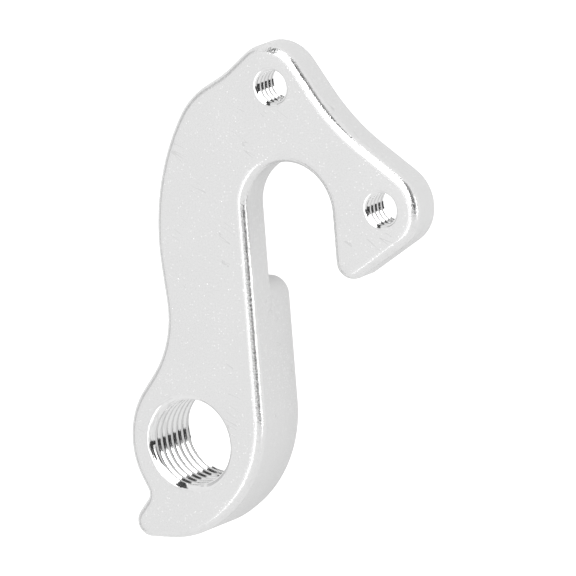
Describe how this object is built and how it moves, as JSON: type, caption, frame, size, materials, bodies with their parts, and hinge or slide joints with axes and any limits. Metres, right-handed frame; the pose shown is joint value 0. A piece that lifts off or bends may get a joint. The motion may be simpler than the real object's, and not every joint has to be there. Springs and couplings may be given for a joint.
{
  "type": "bicycle derailleur hanger",
  "caption": "Hook-shaped metal plate that bolts to a bicycle frame beside the rear axle slot and holds the rear derailleur in a threaded hole in its thick lower end.",
  "frame": {"origin": "where the derailleur bolt's axis crosses the plane of the recess that seats on the bicycle frame; the part lies on the back of its thick lower end, 4.2 mm below", "axes": "+Z along the derailleur bolt's axis, out of the outboard face; +Y up along the axle slot; +X towards the slot, which is the front of the bicycle"},
  "size_m": [0.0372, 0.0525, 0.008],
  "materials": {
    "blasted_aluminium": "fine bead-blasted satin, clear anodised"
  },
  "bodies": {
    "root": {"hanger": "blasted_aluminium"}
  },
  "joints": []
}
